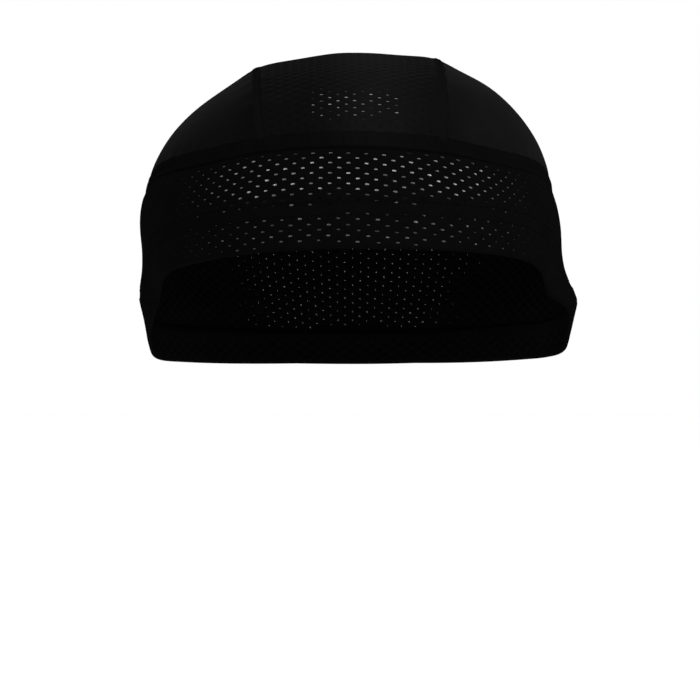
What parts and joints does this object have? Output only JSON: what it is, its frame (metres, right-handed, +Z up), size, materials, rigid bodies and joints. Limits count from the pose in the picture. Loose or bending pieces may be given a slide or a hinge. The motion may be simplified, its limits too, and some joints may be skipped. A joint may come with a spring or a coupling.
{
  "type": "cycling cap",
  "caption": "Close-fitting cycling skull cap of black stretch mesh and knit, in its worn shape, with flat cover-stitched seams and a headband that dips low at the sides and back.",
  "frame": {"origin": "inside of the crown's top, by which the cap is held up", "axes": "+Z up out of the crown, the front towards -Y, +X towards the right of a viewer who faces the front"},
  "size_m": [0.1757, 0.2021, 0.1232],
  "materials": {
    "mesh": "matt black stretch knit with rows of small holes",
    "knit": "matt black smooth stretch knit",
    "thread": "matt black flat cover stitching"
  },
  "bodies": {
    "root": {"crown_centre_panel": "mesh", "crown_side_panel_left": "knit", "crown_side_panel_right": "knit", "headband": "mesh", "crown_seam_left": "thread", "crown_seam_right": "thread", "band_seam": "thread"}
  },
  "joints": []
}
